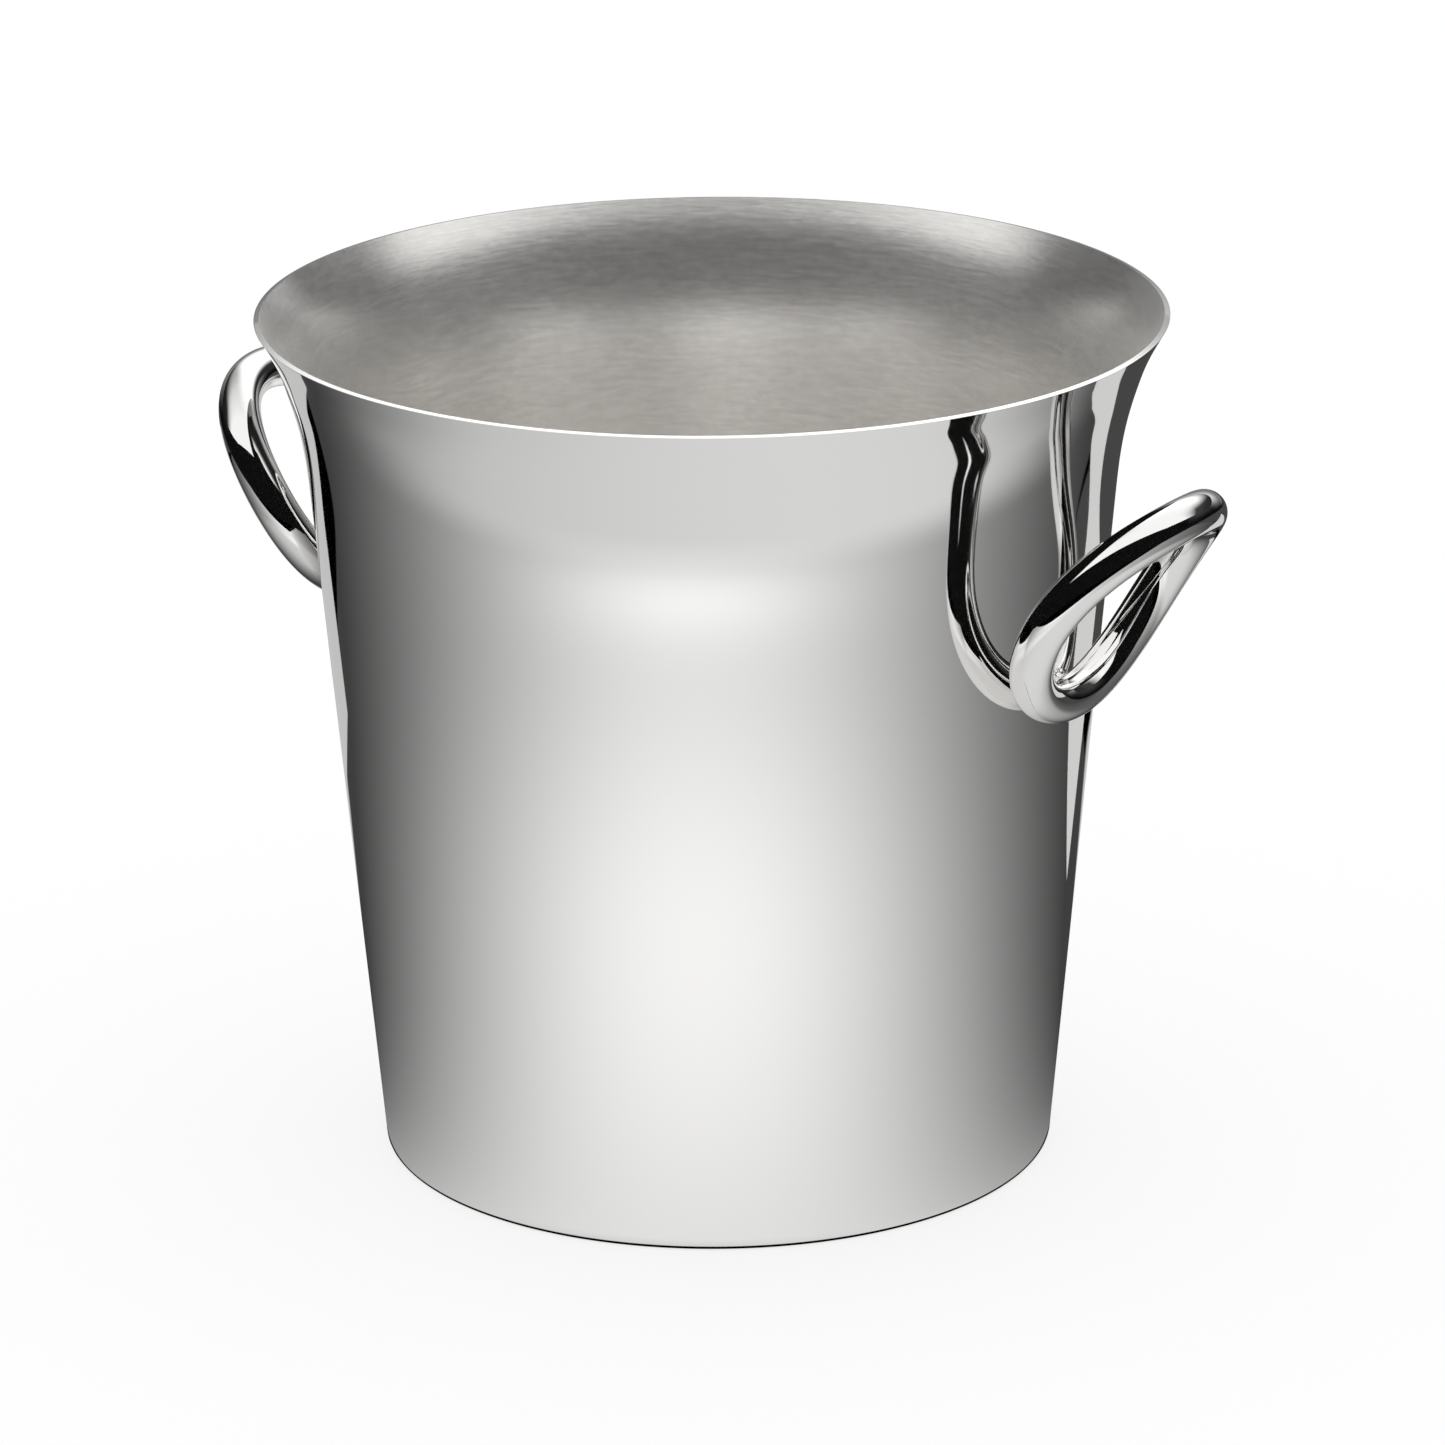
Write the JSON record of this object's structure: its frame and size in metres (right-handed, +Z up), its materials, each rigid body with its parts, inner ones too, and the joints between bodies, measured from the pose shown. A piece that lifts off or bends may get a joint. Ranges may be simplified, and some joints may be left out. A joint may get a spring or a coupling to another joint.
{
  "type": "champagne bucket",
  "caption": "Tapered single-walled bucket with a flared lip and upright ring handles, for chilling a bottle of champagne on ice.",
  "frame": {"origin": "centre of the flat foot, on the surface that the bucket stands on", "axes": "+Z up along the bucket's axis; the ring handles are on +X (right) and -X (left)"},
  "size_m": [0.2704, 0.22, 0.21],
  "materials": {
    "polished_silver": "mirror-polished silver plate with a fine polishing grain",
    "satin_silver": "satin silver plate, brushed round the axis",
    "handle_silver": "mirror-polished silver plate on round bar",
    "solder": "hard solder, slightly uneven, plated over"
  },
  "bodies": {
    "root": {"bucket_wall": "polished_silver", "base_disc": "satin_silver", "base_solder_seam": "solder", "right_ring_handle": "handle_silver", "left_ring_handle": "handle_silver", "right_solder_joint": "solder", "left_solder_joint": "solder"}
  },
  "joints": []
}
